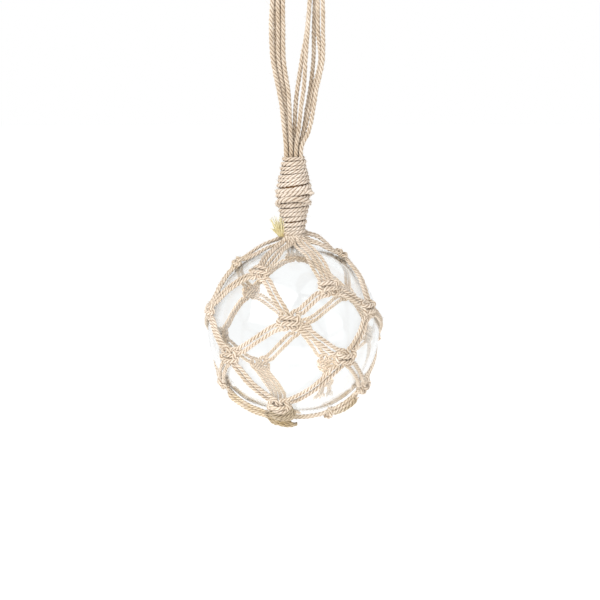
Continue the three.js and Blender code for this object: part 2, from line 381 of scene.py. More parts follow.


# 1 on the outside of each ply and 0 in the grooves: the mask of the painted groove shade
def markCrests(mesh, lines, sides, diameter):
    crest = mesh.attributes.new("crest", "FLOAT", "POINT")
    values = [plies["capMark"]] * (2 * sides * len(lines))
    places = [0.0] * (3 * len(mesh.vertices))
    mesh.vertices.foreach_get("co", places)
    if not diameter:
        values += [1.0] * (len(mesh.vertices) - len(values))
        lines = []
    for entry in (entry for line in lines for entry in line):
        for _ in range(sides):
            first = 3 * len(values)
            far = (Vector(places[first:first + 3]) / mm - entry[2]).length / (diameter * entry[1])
            values.append(min(1.0, max(0.0, (far - plies["grooveEnd"]) / plies["crestWidth"])))
    crest.data.foreach_set("value", values)


def linkedPiece(name, mesh, material):
    piece = linked(bpy.data.objects.new(name, mesh))
    piece.data.materials.clear()
    piece.data.materials.append(material)
    return piece


stainPatch = {"least": 0.65, "vary": 0.5, "scale": 0.25}  # the scale is per mm


# A 0 to 1 stain on each vertex, from spots of (centre, reach, strength)
def addStain(piece, spots=()):
    mesh = piece.data
    stain = mesh.attributes.new("stain", "FLOAT", "POINT")
    values = []
    for vertex in mesh.vertices:
        place = vertex.co / mm
        amount = 0.0
        for centre, reach, strength in spots:
            far = (place - centre).length / reach
            if far < 1:
                patch = stainPatch["least"] + stainPatch["vary"] * noise.noise(place * stainPatch["scale"])
                amount = max(amount, strength * patch * (1 - far * far))
        values.append(min(1.0, max(0.0, amount)))
    stain.data.foreach_set("value", values)


# Places on the ball
def direction(polar, turn):
    p, t = math.radians(polar), math.radians(turn)
    return Vector((math.sin(p) * math.sin(t), -math.sin(p) * math.cos(t), math.cos(p)))


# A point beside a direction on the ball, at a height above the glass
def offBall(middle, side, across, height):
    return ballCentre + (middle * glassRadius + side * across).normalized() * (glassRadius + height)


# The direction a share of the way from one to another
def alongArc(a, b, share):
    angle = a.angle(b)
    return (a * math.sin((1 - share) * angle) + b * math.sin(share * angle)).normalized()


# A point x round the ball and y up it from a spot (polar, turn), at a height above the glass
def onBall(spot, x, y, height):
    out = direction(*spot)
    up = direction(spot[0] - 90, spot[1])
    around = up.cross(out)
    way = (out * glassRadius + around * x + up * y).normalized()
    return ballCentre + way * (glassRadius + height)


# The five looped cords, whose routes are those of the CAD tubes
loops = {
    "diameter": 3.1,
    "lay": 9.4,
    "step": 0.7,
    "tuck": 4,
    "routes": [
        [(-5.1, -3.3, -117.7), (-5.2, -3.3, -112), (-6.3, -2.8, -101), (-8.2, -2, -84), (-10, -1.6, -74),
         (-14, -1.6, -54), (-15.1, -1.8, -34), (-14.2, -1.8, -14), (-13.7, -1.8, -7.4), (-11.7, -1.8, 0.6),
         (-5.6, -1.8, 6.4), (2.7, -1.8, 8.4), (11, -1.8, 6.3), (16.9, -1.8, 0.5), (19.1, -1.8, -7.4),
         (19.7, -1.8, -14), (20, -1.8, -34), (19.8, -1.8, -54), (15.6, -1.5, -74), (14, -1.4, -84),
         (10.6, -1.8, -101), (5.6, -3.2, -112), (5.1, -3.3, -117.7)],
        [(-3.4, 0, -117.7), (-3.5, 0, -112), (-4.2, 0.3, -101), (-5.6, 0.6, -84), (-6.7, 0.6, -74),
         (-9.9, -0.6, -54), (-10.2, -1.2, -34), (-10.5, -1.8, -14), (-10.4, -1.8, -7.4), (-8.7, -1.8, -1.2),
         (-3.9, -1.8, 3.3), (2.6, -1.8, 5), (9.1, -1.8, 3.3), (13.9, -1.8, -1.2), (15.6, -1.8, -7.4),
         (16.3, -1.6, -14), (16.6, -0.4, -34), (18.2, 1.4, -54), (13.4, 1.4, -74), (11.4, 1.2, -84),
         (7.5, 0.5, -101), (3.9, 0, -112), (3.4, 0, -117.7)],
        [(-1.7, -3.3, -117.7), (-1.7, -3.3, -112), (-2.1, -3.2, -101), (-2.8, -2.6, -84), (-3.5, -2, -74),
         (-6.5, -1.9, -54), (-6.8, -2.2, -34), (-7, -1.8, -14), (-6.9, -1.8, -7.4), (-5.7, -1.8, -2.9),
         (-2.5, -1.8, 0.4), (2, -1.8, 1.6), (6.5, -1.8, 0.4), (9.7, -1.8, -2.9), (10.9, -1.8, -7.4),
         (10.9, -1.8, -14), (9.6, -2.1, -34), (8.2, -2, -54), (6.9, -2, -74), (5.3, -2.4, -84),
         (3.5, -3, -101), (1.9, -3.3, -112), (1.7, -3.3, -117.7)],
        [(-5.1, 3.3, -117.7), (-5.2, 3.4, -112), (-5.6, 3.8, -101), (-7.2, 4, -84), (-8.6, 3.8, -74),
         (-11.6, 3, -54), (-12.2, 2.4, -34), (-11.6, 1.9, -14), (-10.6, 1.8, -7.4), (-8.7, 1.8, -1.2),
         (-4.2, 1.8, 3.3), (2, 1.8, 5), (8.2, 1.8, 3.3), (12.7, 1.8, -1.2), (14.5, 1.8, -7.4),
         (14.5, 1.9, -14), (13.9, 2.4, -34), (13.6, 3.4, -54), (11.4, 4.4, -74), (9.6, 4.4, -84),
         (7, 4, -101), (4.6, 3.4, -112), (4.2, 3.4, -117.7)],
        [(-1.7, 3.3, -117.7), (-1.8, 3.4, -112), (-2.2, 3.8, -101), (-3.6, 4.2, -84), (-5, 4.2, -74),
         (-8, 3.4, -54), (-8.7, 2.5, -34), (-8.1, 1.9, -14), (-6.9, 1.8, -7.4), (-5.7, 1.8, -2.9),
         (-2.5, 1.8, 0.4), (2, 1.8, 1.6), (6.5, 1.8, 0.4), (9.7, 1.8, -2.9), (10.9, 1.8, -7.4),
         (11, 1.8, -14), (9.1, 1.4, -34), (5.6, 0.8, -54), (2.6, 0.4, -74), (1.5, 0.4, -84),
         (0.7, 0.3, -101), (0.2, 0, -112), (0, 0, -117.7)],
    ],
}
fuzzRoutes = []  # every cord's route, so that loose fibres can be set along it


def makeLoops(s):
    for number, points in enumerate(s["routes"], 1):
        # both ends run on into the whipping, so no cut end shows
        down = Vector((0, 0, s["tuck"]))
        points = [Vector(p) for p in points]
        route = smoothRoute([points[0] - down] + points + [points[-1] - down], s["step"])
        lines = pliedLines(route, s["diameter"], s["lay"], number * 1.3)
        piece = cordPiece(f"looped_cord_{number}", lines, s["diameter"], loopCotton)
        addStain(piece)
        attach(piece, "root")
        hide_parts(f"loop_cord_{number}")
        fuzzRoutes.append((route, s["diameter"], 1.6))


makeLoops(loops)
print("looped cords made")

gatherKnot = (141.6, -11)
gatherLump = (150.2, -13)

# The net: five bands of four cords fan out over the ball's top, and are tied two and two into rows of knots
net = {
    "diameter": 2.85,
    "lay": 8.8,
    "press": 0.16,       # how much a cord is flattened against the glass
    "lie": 1.6,          # height of a cord's middle above the glass
    "thinFrom": 0.8,     # pulled thin near the neck, above this share of the radius, and wider below it
    "thin": 0.9, "wide": 1.05, "widening": 0.02,
    "spreads": [1.65, 1.65, 2.0],  # half the distance between the two cords of a leg, by row
    "rows": [
        {"polar": [39, 41, 52.5, 33, 39], "turn": [-82, -33, 28.5, 98, 178]},
        {"polar": [74, 73, 71, 72, 72], "turn": [-74, -2.6, 60.5, 136, -146.5]},
        {"polar": [100, 99, 98.5, 98, 100.5], "turn": [-118, -44.5, 34.5, 110, 175]},
        {"polar": [126, 134, 128, 125, 127], "turn": [-80, -12, 76, 150, -149]},
    ],
    "gatherColumn": 1,
    "legClear": 9.0,     # from a knot's middle to where a leg runs free
    "legSway": 0.25,
    # where the bands of the underside go on their way to the gather, and the one cut off before it
    "vias": {2: [(152, 40)], 4: [(137, -150.5), (150, -156), (171, -90)]},
    "shortBands": {3: (153, 127)},
    # cords cut off short on the way, and how far along
    "stops": {
        2: {"cords": (1, 3), "at": 0.50, "spread": 2.2},
        3: {"cords": (0, 1, 2, 3), "at": 0.90, "spread": 6.0},
    },
    "highKnots": {(3, 2): 1.45, (3, 1): 1.5},  # (row, column): its height as a share of the others'
    "raisedBands": {0: 0.6, 2: 1.1},
    "wideBand": 4,
    # (band, cord): how far that cord lies from the others, where it lies farthest
    "apart": {(0, 0): -4.4, (2, 2): 4.4},
    # yellowed places: a spot on the ball, the height above it, the reach and the strength
    "stains": [((137, -66), 3, 9, 0.45), ((146, -45), 3, 12, 0.5), (gatherLump, 3, 13, 0.6),
               ((40, -80), 2, 10, 0.25), ((30, 60), 2, 12, 0.35), ((150, -164), 3, 10, 0.5),
               ((150, 60), 3, 10, 0.4), ((142, 72), 5, 10, 0.6)],
}

# The bands over the ball's top
crown = {
    "seed": 200,
    "fanTurn": 18,       # degrees between two cords of a band where they leave the neck
    "lift": 1.2,         # every other cord lies on its neighbours
    # distance from the axis, height in the neck's foot, and whether it lifts there
    "inside": [(4.2, 9, 0), (5.2, 4, 0), (7.6, -0.6, 1)],
    "mouthRise": 0.75,
    "lip": {"polar": 10.8, "turnBack": 2, "up": 0.5, "lift": 0.5},
    # shares of the way left to the knot and of the width, height, and share of the cord's rise
    "over": [(0.56, 0.88, 0.3, 0.9), (0.33, 1.0, 0, 0.45)],
    "uneven": 0.25, "oddHeight": 0.3,
    # how far each cord stands off the ball where it leaves the neck, and lies across its band, by column
    "rise": [[1.9, 2.3, 0, 0.2], [0, 0.4, 0, 0.3], [0, 0.4, 0.2, 0.6], [1.2, 1.8, 5.4, 5.8],
             [0, 0.4, 0, 0.4]],
    "across": [[-3.0, 0.2, 5.6, 9.0], [-5.7, -1.9, 1.9, 5.7], [-5.4, -1.8, 1.8, 5.4],
               [-7.2, -3.6, 2.4, 5.6], [-5.4, -1.8, 1.8, 5.4]],
}

# The bands of the underside, whose cords lie two on two
underside = {
    "seed": 50,
    "across": (-1, -0.6, 0.9, 0.8),  # shares of the spread
    "height": (1.6, 4.1, 1.7, 4.0),
    # the wide band's cords lie side by side instead, low on the glass, for most of the way
    "wideAcross": 3.2, "wideHeight": 1.7, "wideFrom": 4.0, "wideFall": 4.5,
    "places": (2, 9, 0.11),          # first, last and share of the way between two
    "spread": (1.3, 1.75),
    "loosening": 3.0,    # how far a cut band comes apart towards its end
    "apartUntil": 0.6,
    "cut": (0.02, 0.07), "cutSpread": (0.8, 1.1),
    "gatherStep": 2.7, "gatherPlaces": [(5.0, 3.4), (-3.0, 4.0)],
    # into the gather: across it, up it and height, each a value or a range
    "lump": ((-6.5, 6.5), (-2.5, 1.5), (2.0, 6.5)),
    "mouth": ((-5, 5), -6.0, (2.0, 6.5)),
    "inside": ((-4, 4), 3.0, (3.0, 5.5)),
}

# A square knot's four cords, from top to bottom: x round the ball, y up it, height above the glass
workingCord = [(-4.6, 4.9, 1.8), (-6.3, 3.0, 2.3), (-3.6, 1.9, 3.9), (0, 1.7, 4.4), (3.9, 1.7, 3.4),
               (6.8, 0.8, 2.0), (6.7, -1.0, 2.2), (3.7, -1.9, 3.8), (0, -2.1, 4.4), (-3.7, -1.9, 3.7),
               (-6.0, -3.0, 2.0), (-4.6, -4.9, 1.8)]
fillerCord = [(-1.5, 5.3, 1.8), (-1.4, 2.5, 2.3), (-1.4, -2.5, 2.3), (-1.5, -5.3, 1.8)]
wrappingCord = [(4.7, 4.9, 1.9), (6.0, 3.3, 3.4), (5.9, 1.3, 4.2), (4.6, 0, 2.6), (2.6, 0.3, 1.0),
                (-2.6, 0.6, 1.0), (-5.4, 0.9, 1.5), (-7.2, 0.2, 3.0), (-7.0, -1.4, 3.5), (-5.2, -2.4, 1.9),
                (-2.6, -2.6, 1.0), (2.6, -2.6, 1.0), (5.4, -2.8, 1.7), (4.7, -4.9, 1.8)]
knotCords = [workingCord, fillerCord, [(-x, y, h) for x, y, h in fillerCord], wrappingCord]


def knotAt(row, column):
    return (net["rows"][row]["polar"][column], net["rows"][row]["turn"][column])


# Points of one cord of a leg between two knots, left or right of the leg's middle line
def legPoints(start, end, left, spread):
    a, b = direction(*start), direction(*end)
    edge = net["legClear"] / glassRadius / a.angle(b)
    points = []
    for share in (edge, 0.5, 1 - edge):
        middle = alongArc(a, b, share)
        travel = (b - a).normalized()
        side = middle.cross(travel).normalized()
        around = Vector((0, 0, 1)).cross(middle)
        if (side.dot(around) > 0) == left:
            side = -side
        sway = net["legSway"] * noise.noise(middle * 7 + Vector((left, share, 0)))
        points.append(offBall(middle, side, spread + sway, net["lie"]))
    return points


# From inside the neck, out over the ball's top, to the first row's knot
def crownPoints(column, j):
    s = crown
    rng = random.Random(s["seed"] + column * 4 + j)
    spot = knotAt(0, column)
    fan = j - 1.5
    odd = j % 2
    turn = spot[1] + fan * s["fanTurn"]
    lift = s["lift"] if odd else 0.0
    rise = s["rise"][column][j]
    inside = direction(90, turn)
    lifted = lift + rise * s["mouthRise"]
    points = [ballCentre + inside * far + Vector((0, 0, neckFoot + up + lifted * share))
              for far, up, share in s["inside"]]
    lip = s["lip"]
    way = direction(lip["polar"], turn - fan * lip["turnBack"])
    points.append(ballCentre + way * (glassRadius + net["lie"] + lip["up"] + lift * lip["lift"] + rise))
    reach = math.radians(spot[0]) * glassRadius
    for far, narrow, up, risen in s["over"]:
        x = s["across"][column][j] * narrow + rng.uniform(-s["uneven"], s["uneven"])
        height = net["lie"] + (up + rise * risen) + s["oddHeight"] * odd + rng.uniform(0, s["oddHeight"])
        points.append(onBall(spot, x, reach * far, height))
    return points


# One cord of a band that lies two by two, at a share of the way between two spots
def bundlePlace(start, end, share, j, spread, raised=0.0, wide=0.0, apart=0.0):
    s = underside
    a, b = direction(*start), direction(*end)
    middle = alongArc(a, b, share)
    side = middle.cross((b - a).normalized()).normalized()
    across = spread * s["across"][j]
    height = s["height"][j] + raised
    if wide:
        across += (s["wideAcross"] * (j - 1.5) - across) * wide
        height += (s["wideHeight"] - height) * wide
    return offBall(middle, side, across + apart, height)


# A band's middle line from the last row's knot to the gather, as spots on the ball
def bottomSpots(column):
    return [knotAt(3, column)] + net["vias"].get(column, []) + [net["shortBands"].get(column, gatherLump)]


# A spot a share of the way along a chain of spots, and the leg of the chain it is on
def alongSpots(spots, share):
    legs = list(zip(spots, spots[1:]))
    lengths = [direction(*a).angle(direction(*b)) for a, b in legs]
    left = share * sum(lengths)
    for (a, b), length in zip(legs, lengths):
        if left <= length or (a, b) == legs[-1]:
            return a, b, left / length
        left -= length


# From the last row's knot along the ball's underside into the bottom gather
def bottomPoints(column, j):
    s = underside
    rng = random.Random(s["seed"] + column * 4 + j)
    mouth = onBall(gatherKnot, *drawn(rng, s["mouth"]))
    inside = onBall(gatherKnot, *drawn(rng, s["inside"]))
    if column == net["gatherColumn"]:
        x = (j - 1.5) * s["gatherStep"]
        return [onBall(gatherKnot, x, y, height) for y, height in s["gatherPlaces"]] + [inside]
    spots = bottomSpots(column)
    stop = net["stops"].get(column, {"cords": (), "at": 1, "spread": 0})
    short = j in stop["cords"]
    raised = net["raisedBands"].get(column, 0.0)
    first, last, stride = s["places"]
    points = []
    for step in range(first, last):
        share = stride * step
        if short and share > stop["at"]:
            continue
        wide = 0.0
        if column == net["wideBand"]:
            wide = min(1.0, max(0.0, s["wideFrom"] - s["wideFall"] * share))
        loose = s["loosening"] * share if column in net["shortBands"] else 0.0
        apart = net["apart"].get((column, j), 0.0) * math.sin(math.pi * min(1.0, share / s["apartUntil"]))
        legs = alongSpots(spots, share)
        points.append(bundlePlace(*legs, j, rng.uniform(*s["spread"]) + loose, raised, wide, apart))
    if short:
        legs = alongSpots(spots, stop["at"] + rng.uniform(*s["cut"]))
        return points + [bundlePlace(*legs, j, stop["spread"] * rng.uniform(*s["cutSpread"]), raised)]
    return points + [onBall(gatherLump, *drawn(rng, s["lump"])), mouth, inside]


# One cord of the net from the neck to the gather: (column, j) name its place in the first row
def strandRoute(column, j):
    points = crownPoints(column, j)
    for row in range(4):
        spot = knotAt(row, column)
        high = net["highKnots"].get((row, column), 1.0)
        points += [onBall(spot, x, y, h * high) for x, y, h in knotCords[j]]
        if row == 3:
            break
        leftLeg = j < 2
        if row % 2 == 0:
            nextColumn = (column - 1) % 5 if leftLeg else column
        else:
            nextColumn = column if leftLeg else (column + 1) % 5
        isLeft = j in (0, 2)
        points += legPoints(spot, knotAt(row + 1, nextColumn), isLeft, net["spreads"][row])
        column = nextColumn
        j = j + 2 if leftLeg else j - 2
    return points + bottomPoints(column, j)


def joinNet(piece, spots):
    addStain(piece, spots)
    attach(piece, "root")
    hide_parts("rope_net")


def makeNet(s):
    spots = [(onBall(spot, 0, 0, height), reach, strength) for spot, height, reach, strength in s["stains"]]
    top = ballCentre.z + glassRadius * s["thinFrom"]
    for column in range(5):
        lines = []
        for j in range(4):
            route = smoothRoute(strandRoute(column, j))
            widths = [min(s["wide"], s["thin"] + max(0.0, top - q.z) * s["widening"]) for q in route]
            lines += pliedLines(route, s["diameter"], s["lay"], column * 2.1 + j * 1.7, s["press"], widths)
            fuzzRoutes.append((route, s["diameter"], 2.2))
        piece = cordPiece(f"net_cords_{column + 1}", lines, s["diameter"], netCotton, 6)
        joinNet(piece, spots)


makeNet(net)
print("net made")


def netPlies(route, phase, fuzzShare, widths=None):
    fuzzRoutes.append((route, net["diameter"], fuzzShare))
    return pliedLines(route, net["diameter"], net["lay"], phase, 0.0, widths)


# Half width, half depth, length, turns, height above the glass, seed, stain and how thin it begins
windings = {
    "gather_winding": (7.6, 2.9, 9.6, 4.4, 4.4, 0.0, 0.35, 0.35),
    "right_band_knot": (3.2, 2.7, 2.6, 1.6, 4.0, 6.0, 0.3, 0.0),
    "back_band_knot": (4.2, 2.6, 3.6, 2.1, 3.3, 7.0, 0.2, 0.0),
}
wound = {"pointsATurn": 16, "bulge": 0.14, "drift": 0.8, "sag": 0.9, "slope": 0.06}


# A cord wound round a bundle that lies on the ball, about an axis along the glass
def windRound(name, middle, axis, material):
    halfWidth, halfDepth, length, turns, lie, seed, stain, taper = windings[name]
    across = axis.cross(middle)
    points = []
    steps = int(turns * wound["pointsATurn"])
    for i in range(steps + 1):
        share = i / steps
        a = 2 * math.pi * turns * share - math.pi / 2
        uneven = noise.noise(Vector((a * 0.3, 0, seed)))
        swell = 1 - wound["bulge"] * (2 * share - 1) ** 2 + wound["bulge"] * uneven
        thin = 1 - taper * max(0.0, 1 - 3 * share)
        x = halfWidth * swell * math.cos(a)
        y = length * (0.5 - share) + wound["drift"] * noise.noise(Vector((a * 0.5, seed, 0)))
        # the front of each turn sags, and slopes a little
        y -= wound["sag"] * math.sin(a) - wound["slope"] * x
        way = (middle * glassRadius + across * x + axis * y).normalized()
        height = lie - halfDepth * (1 - thin) + halfDepth * swell * thin * math.sin(a)
        points.append(ballCentre + way * (glassRadius + height))
    route = smoothRoute(points)
    lines = netPlies(route, 0.4 + seed, 2.6, [0.98 + 0.16 * noise.noise(q * 0.2) for q in route])
    piece = cordPiece(name, lines, net["diameter"], material)
    joinNet(piece, [(onBall(gatherLump, 0, 0, 6), 12, stain)])


# The middle of a band of the underside and its direction there
def bandFrame(column, share):
    a, b, part = alongSpots(bottomSpots(column), share)
    start, end = direction(*a), direction(*b)
    middle = alongArc(start, end, part)
    travel = (end - start).normalized()
    return middle, (travel - middle * travel.dot(middle)).normalized()


# Nothing goes into the glass
def keptOut(point, clear=0.6):
    arm = point - ballCentre
    if arm.length < glassRadius + clear:
        return ballCentre + arm.normalized() * (glassRadius + clear)
    return point


# A yarn that thins towards its end
def thinned(route, by):
    last = len(route) - 1
    return [(q, 1.0 - by * (k / last) ** 2) for k, q in enumerate(route)]


# Frayed yarns of a cut cord, from a foot along a way
def cutYarns(rng, foot, way, length, count, spread):
    lines = []
    for _ in range(count):
        side = jitter(rng, 1)
        reach = length * rng.uniform(0.5, 1.1)
        points = [foot + side * 0.7, foot + way * reach * 0.45 + side * spread * 0.5,
                  foot + way * reach + side * spread]
        lines.append(thinned(smoothRoute([keptOut(q) for q in points], 0.9), 0.7))
    return lines


# The underside's cut ends
cuts = {
    "ends": 6, "step": 2.3, "slope": 4.6, "fall": 1.4, "uneven": 0.4,
    # a slanted end's points: share of the slope, up the ball, and height
    "slant": [(0, 3.6, 7.2), (0.5, 1.4, 9.0), (0.9, -1.6, 9.4), (1.1, -4.6, 8.4)],
    "stubYarns": (1.8, 12, 0.9),  # length, count and spread of the yarns
    # spot, place from it, way they point, and their yarns
    "right": [(gatherKnot, (8.2, 1.0, 3.0), (0.9, -0.3, -0.35), (4.2, 16, 1.2)),
              (gatherLump, (8.0, 1.5, 3.6), (0.8, -0.2, 0.15), (3.4, 10, 1.0))],
    # the returned cord: share of its band, height, and across
    "returned": [(0.47, 3.4, 1.0), (0.42, 5.8, 0.9), (0.34, 6.7, 1.4), (0.26, 6.8, 1.2), (0.2, 6.6, 1.0),
                 (0.155, 6.2, 0.9)],
    "returnedYarns": (1.8, 14, 1.0),
    # band, share of it, length, and places across it
    "bands": [(2, 0.50, 1.8, (-1.6, 0.0, 1.6)), (3, 0.93, 4.6, (-6.2, -4.4, -2.4, 0, 2.4, 4.4, 6.2))],
    "bandYarns": (14, 1.3),
    "yarnRadius": 0.34,
    "bandKnots": {2: 0.47, 3: 0.5},
}


# The gather's cords, cut off below the winding, lie side by side and slant down to the right
def slantedEnds(s, rng):
    lines = []
    yarns = []
    for k in range(s["ends"]):
        x = (k - (s["ends"] - 1) / 2) * s["step"] - s["slope"] / 2 - 0.8
        fall = s["fall"] * abs(k - 3.0) / 3.0
        points = [onBall(gatherLump, x - 1.8, 5.5, 4.0)]
        for far, y, height in s["slant"]:
            points.append(onBall(gatherLump, x + s["slope"] * far, y, height - fall))
        route = smoothRoute([q + jitter(rng, s["uneven"]) for q in points])
        lines += netPlies(route, k * 1.9, 3.0, [0.96 + 0.12 * noise.noise(q * 0.3) for q in route])
        way = (route[-1] - route[-4]).normalized()
        yarns += cutYarns(rng, route[-1], (way + Vector((0, 0, -0.5))).normalized(), *s["stubYarns"])
    return lines, yarns


def makeGather(s):
    up = direction(gatherKnot[0] - 90, gatherKnot[1])
    windRound("gather_winding", direction(*gatherKnot), up, gatherCotton)
    rng = random.Random(31)
    slanted, yarns = slantedEnds(s, rng)
    # two cord ends stand out at the right of the winding
    for spot, place, way, size in s["right"]:
        yarns += cutYarns(rng, onBall(spot, *place), Vector(way).normalized(), *size)

    middle, travel = bandFrame(2, s["bandKnots"][2])
    windRound("right_band_knot", middle, -travel, netCotton)
    # one cord turns back over this band, and is cut just below the knot
    returned = []
    for share, height, across in s["returned"]:
        middle, travel = bandFrame(2, share)
        returned.append(offBall(middle, travel.cross(middle), across, height))
    route = smoothRoute(returned)
    slanted += netPlies(route, 0.7, 3.0)
    yarns += cutYarns(rng, route[-1], (route[-1] - route[-4]).normalized(), *s["returnedYarns"])
    middle, travel = bandFrame(3, s["bandKnots"][3])
    windRound("back_band_knot", middle, -travel, netCotton)
    for column, share, length, places in s["bands"]:
        middle, travel = bandFrame(column, share)
        side = travel.cross(middle)
        for across in places:
            way = (travel + middle * 0.2 + side * across * 0.08).normalized()
            yarns += cutYarns(rng, offBall(middle, side, across, 2.8), way, length, *s["bandYarns"])
    ends = cordPiece("turned_cord_ends", slanted, net["diameter"], gatherCotton)
    cut = meshOfLines("cut_cord_ends", yarns, s["yarnRadius"], netCotton)
    for piece in (ends, cut):
        joinNet(piece, [(onBall(gatherLump, 0, 0, 6), 12, 0.8), (onBall((142, 72), 0, 0, 6), 10, 0.7)])


makeGather(cuts)
print("gather wound")

# The neck: cord wound in slanting turns round the bundle
neck = {
    "diameter": 3.3,
    "lay": 9.4,
    # where each turn crosses the front, up from the foot: tight and slack by turns, as hands leave it
    "heights": [1.7, 4.8, 7.6, 10.7, 14.5, 18.1, 20.9, 24.5, 28.1, 32.1, 35.0, 39.2, 41.6, 44.2, 46.9,
                49.7, 52.6, 56.0],
    "slant": [(0, 0.06), (20, 0.05), (34, 0.09), (46, 0.06), (58, -0.05)],  # rise to the right at heights
    "flat": 0.88,        # depth over width
    "outline": [(0, 8.3), (6, 8.6), (16, 9.3), (23, 11.2), (34, 12.5), (41, 11.4), (48, 9.6), (58, 8.1)],
    "sink": 0.46,        # share of the cord's diameter from its middle to the outline
    "uneven": (0.3, 0.8),            # of height and radius
    "rooms": (0.84, 1.14),           # thinnest and thickest, as the turns leave room
    "pointsATurn": 20,
    # one more turn over the others: from and over how many half turns, and what it does at the front
    "over": {"points": 36, "from": 0.25, "turns": 1.72, "height": 23.4, "climb": 1.0, "arch": 4.8,
             "sink": 0.5, "stand": 1.6, "width": 1.14},
    "stub": [(7.0, -7.6, 33.4), (9.6, -6.6, 33.7), (11.5, -5.6, 33.2), (13.0, -5.2, 31.6)],
    "stubWidth": 1.15,
    "core": {"foot": 1.5, "head": 2.0, "inset": 2.6, "rings": 12, "steps": 40},
}


# The value at x on a chain of (x, value) pairs, eased in and out of each pair if asked
def between(pairs, x, eased=False):
    for (x0, y0), (x1, y1) in zip(pairs, pairs[1:]):
        if x <= x1:
            share = max(0.0, (x - x0) / (x1 - x0))
            if eased:
                share = share * share * (3 - 2 * share)
            return y0 + (y1 - y0) * share
    return pairs[-1][1]


def neckRadius(height):
    return between(neck["outline"], height, True)


def makeNeckWinding(s):
    heights = s["heights"]
    crossings = [(-0.6, heights[0] - 0.9)] + list(enumerate(heights))
    crossings.append((len(heights) - 0.4, heights[-1] + 0.9))
    steps = s["pointsATurn"] * len(heights)
    points = []
    for i in range(steps + 1):
        turn = -0.5 + len(heights) * i / steps
        a = 2 * math.pi * turn - math.pi / 2
        height = between(crossings, turn) + s["uneven"][0] * noise.noise(Vector((a * 0.31, 2.0, 0)))
        radius = neckRadius(height) - s["diameter"] * s["sink"]
        radius += s["uneven"][1] * noise.noise(Vector((a * 0.23, 0, 5.0)))
        x, y = radius * math.cos(a), radius * math.sin(a) * s["flat"]
        points.append(ballCentre + Vector((x, y, neckFoot + height + between(s["slant"], height) * x)))
    route = smoothRoute(points)
    rooms = []
    for i in range(len(route)):
        turn = len(heights) * i / (len(route) - 1) - 0.5
        room = (between(crossings, turn + 0.5) - between(crossings, turn - 0.5)) / s["diameter"]
        rooms.append(min(s["rooms"][1], max(s["rooms"][0], room)) + 0.08 * noise.noise(route[i] * 0.15))
    lines = pliedLines(route, s["diameter"], s["lay"], 0.9, 0.0, rooms)
    winding = cordPiece("neck_winding", lines, s["diameter"], neckCotton)
    addStain(winding, [(ballCentre + Vector((-9, -6, neckFoot + 3)), 6, 0.35)])
    fuzzRoutes.append((route, s["diameter"], 2.6))
    return winding


# One more turn, arched over the others at the front, and a cut end that stands out just above it
def makeOuterTurn(s):
    o = s["over"]
    over = []
    for i in range(o["points"] + 1):
        a = math.pi * (o["from"] + o["turns"] * i / o["points"])
        front = max(0.0, -math.sin(a))
        height = o["height"] + o["climb"] * i / o["points"] + o["arch"] * front
        radius = neckRadius(height) - o["sink"] + o["stand"] * front
        place = Vector((radius * math.cos(a), radius * math.sin(a) * s["flat"], neckFoot + height))
        over.append(ballCentre + place)
    route = smoothRoute(over)
    wide = [o["width"] + 0.05 * noise.noise(p * 0.3) for p in route]
    lines = pliedLines(route, s["diameter"], s["lay"] * 1.3, 2.2, 0.0, wide)
    stub = smoothRoute([ballCentre + Vector((x, y, neckFoot + z)) for x, y, z in s["stub"]])
    lines += pliedLines(stub, s["diameter"], s["lay"], 0.3, 0.0, [s["stubWidth"]] * len(stub))
    fuzzRoutes.append((stub, s["diameter"], 3.0))
    outer = cordPiece("neck_outer_turn", lines, s["diameter"], neckCotton)
    addStain(outer)
    fuzzRoutes.append((route, s["diameter"], 3.0))
    return outer


# The bundle inside, seen dark between the turns, with painted groove shade all over it
def makeCore(s):
    c = s["core"]
    tall = neckHead - neckFoot
    work = bmesh.new()
    profile = [work.verts.new((0, 0, (neckFoot + c["foot"]) * mm))]
    for i in range(c["rings"] + 1):
        height = c["foot"] + (tall - c["foot"] - c["head"]) * i / c["rings"]
        profile.append(work.verts.new(((neckRadius(height) - c["inset"]) * mm, 0, (neckFoot + height) * mm)))
    profile.append(work.verts.new((0, 0, (neckFoot + tall - c["head"]) * mm)))
    edges = [work.edges.new((p, q)) for p, q in zip(profile, profile[1:])]
    bmesh.ops.spin(work, geom=profile + edges, cent=(0, 0, 0), axis=(0, 0, 1), angle=2 * math.pi,
                   steps=c["steps"], use_merge=True)
    bmesh.ops.remove_doubles(work, verts=work.verts, dist=weld * mm)
    bmesh.ops.recalc_face_normals(work, faces=work.faces)
    bmesh.ops.scale(work, vec=(1, s["flat"], 1), verts=work.verts)
    bmesh.ops.translate(work, vec=ballCentre * mm, verts=work.verts)
    mesh = finished(work, bpy.data.meshes.new("neck_core"), False)
    mesh.uv_layers.new(name="UVMap")  # without the crest mark the core takes the full painted groove shade
    inner = linkedPiece("neck_core", mesh, loopCotton)
    addStain(inner)
    return inner


def makeNeck(s):
    for piece in (makeNeckWinding(s), makeOuterTurn(s), makeCore(s)):
        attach(piece, "root")
        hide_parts("neck_whipping")


makeNeck(neck)
print("neck wound")

# A cut cord end beside the neck, come apart into yellowed yarns
frayed = {
    "turn": -70, "foot": 8.9, "height": 66.0,
    "length": 13.5, "yarns": 60, "radius": 0.5, "thinning": 0.75,
    # a yarn's bends: how far out, how far left, share of its length, unevenness
    "bends": [(1.5, 0, 0, 0), (2.7, 0.5, 0.3, 0.6), (3.6, 1.8, 0.65, 0.7), (4.4, 3.4, 1.0, 1.0)],
}


